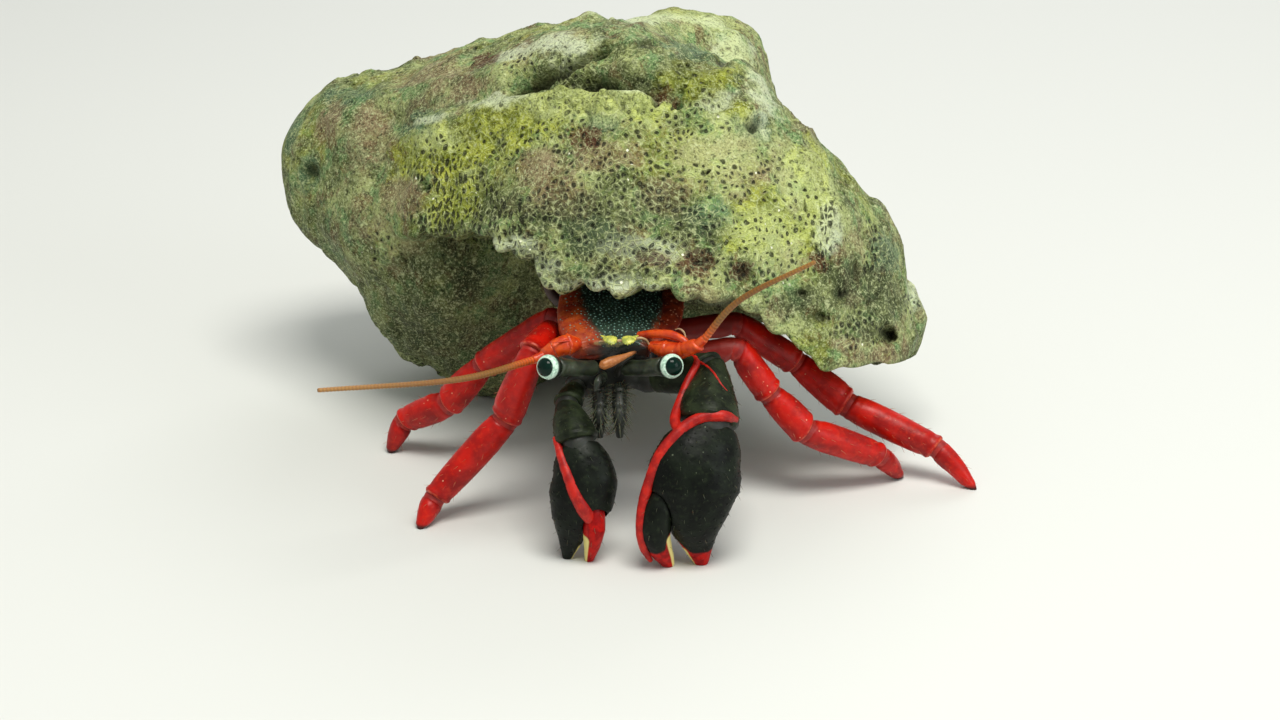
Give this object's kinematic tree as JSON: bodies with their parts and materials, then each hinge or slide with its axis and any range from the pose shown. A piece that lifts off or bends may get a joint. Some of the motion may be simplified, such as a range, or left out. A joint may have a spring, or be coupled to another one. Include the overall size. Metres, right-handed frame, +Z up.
{
  "type": "hermit crab",
  "caption": "Small red-legged hermit crab standing in a heavily encrusted spiral sea-snail shell, claws down in front, life-size still model.",
  "frame": {"origin": "bottom centre of the bounding box, on the floor the crab stands on", "axes": "+Z up, -Y towards the viewer's side that the crab faces, +X to the viewer's right, which is the crab's left"},
  "size_m": [0.048, 0.0472, 0.0288],
  "materials": {
    "shell": "rough mineral crust",
    "shield": "satin",
    "thorax": "satin",
    "pleon": "soft satin",
    "ocular_plate": "satin",
    "eyestalk_left": "satin",
    "eyestalk_right": "satin",
    "eye_left": "gloss",
    "eye_right": "gloss",
    "antenna_base_left": "satin",
    "antenna_base_right": "satin",
    "antenna_left": "satin",
    "antenna_right": "satin",
    "antennule_left": "satin",
    "antennule_right": "satin",
    "maxilliped_left": "satin",
    "maxilliped_right": "satin",
    "leg_4_left": "soft satin",
    "leg_4_right": "soft satin",
    "leg_5_left": "soft satin",
    "leg_5_right": "soft satin",
    "claw_left_merus": "satin",
    "claw_left_carpus": "satin",
    "claw_left_palm": "satin",
    "claw_left_finger": "satin",
    "claw_right_merus": "satin",
    "claw_right_carpus": "satin",
    "claw_right_palm": "satin",
    "claw_right_finger": "satin",
    "leg_2_left_merus": "satin",
    "leg_2_left_carpus": "satin",
    "leg_2_left_propodus": "satin",
    "leg_2_left_dactyl": "satin",
    "leg_2_right_merus": "satin",
    "leg_2_right_carpus": "satin",
    "leg_2_right_propodus": "satin",
    "leg_2_right_dactyl": "satin",
    "leg_3_left_merus": "satin",
    "leg_3_left_carpus": "satin",
    "leg_3_left_propodus": "satin",
    "leg_3_left_dactyl": "satin",
    "leg_3_right_merus": "satin",
    "leg_3_right_carpus": "satin",
    "leg_3_right_propodus": "satin",
    "leg_3_right_dactyl": "satin"
  },
  "bodies": {
    "root": {"shell": "shell", "shield": "shield", "thorax": "thorax", "pleon": "pleon", "ocular_plate": "ocular_plate", "eyestalk_left": "eyestalk_left", "eyestalk_right": "eyestalk_right", "eye_left": "eye_left", "eye_right": "eye_right", "antenna_base_left": "antenna_base_left", "antenna_base_right": "antenna_base_right", "antenna_left": "antenna_left", "antenna_right": "antenna_right", "antennule_left": "antennule_left", "antennule_right": "antennule_right", "maxilliped_left": "maxilliped_left", "maxilliped_right": "maxilliped_right", "leg_4_left": "leg_4_left", "leg_4_right": "leg_4_right", "leg_5_left": "leg_5_left", "leg_5_right": "leg_5_right", "claw_left_merus": "claw_left_merus", "claw_left_carpus": "claw_left_carpus", "claw_left_palm": "claw_left_palm", "claw_left_finger": "claw_left_finger", "claw_right_merus": "claw_right_merus", "claw_right_carpus": "claw_right_carpus", "claw_right_palm": "claw_right_palm", "claw_right_finger": "claw_right_finger", "leg_2_left_merus": "leg_2_left_merus", "leg_2_left_carpus": "leg_2_left_carpus", "leg_2_left_propodus": "leg_2_left_propodus", "leg_2_left_dactyl": "leg_2_left_dactyl", "leg_2_right_merus": "leg_2_right_merus", "leg_2_right_carpus": "leg_2_right_carpus", "leg_2_right_propodus": "leg_2_right_propodus", "leg_2_right_dactyl": "leg_2_right_dactyl", "leg_3_left_merus": "leg_3_left_merus", "leg_3_left_carpus": "leg_3_left_carpus", "leg_3_left_propodus": "leg_3_left_propodus", "leg_3_left_dactyl": "leg_3_left_dactyl", "leg_3_right_merus": "leg_3_right_merus", "leg_3_right_carpus": "leg_3_right_carpus", "leg_3_right_propodus": "leg_3_right_propodus", "leg_3_right_dactyl": "leg_3_right_dactyl"}
  },
  "joints": []
}
